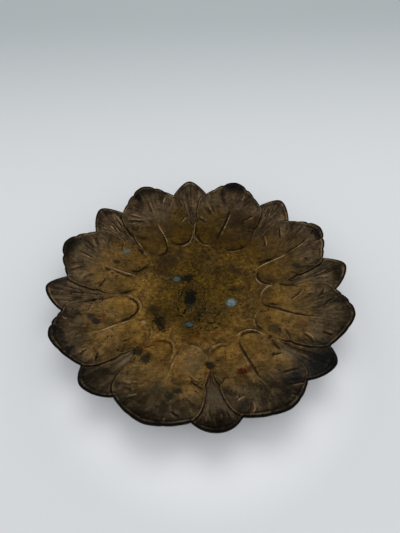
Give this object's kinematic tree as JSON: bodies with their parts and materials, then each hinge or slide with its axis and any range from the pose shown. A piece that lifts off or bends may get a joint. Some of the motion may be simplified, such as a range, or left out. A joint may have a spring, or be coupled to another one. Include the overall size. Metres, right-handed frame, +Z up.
{
  "type": "leaf dish",
  "caption": "Wide shallow cast brass dish with a rim of lobed and pointed leaves that curl up, on a low foot ring riveted under its plain well.",
  "frame": {"origin": "on the axis of the dish, at the face of the foot ring that rests on the table", "axes": "+Z up along the axis of the dish; one pointed leaf points along -Y, the side that faces the viewer in the picture"},
  "size_m": [0.2532, 0.2492, 0.0332],
  "materials": {
    "dish_brass": "cast, with a brown patina that is rubbed golden in the well and dark at the leaf tips",
    "foot_brass": "turned, with a thin brown patina",
    "rivet_brass": "peened flush, with blue-green corrosion over the head"
  },
  "bodies": {
    "root": {"dish": "dish_brass", "foot_ring": "foot_brass", "rivet_left": "rivet_brass", "rivet_right": "rivet_brass", "rivet_front": "rivet_brass"}
  },
  "joints": []
}
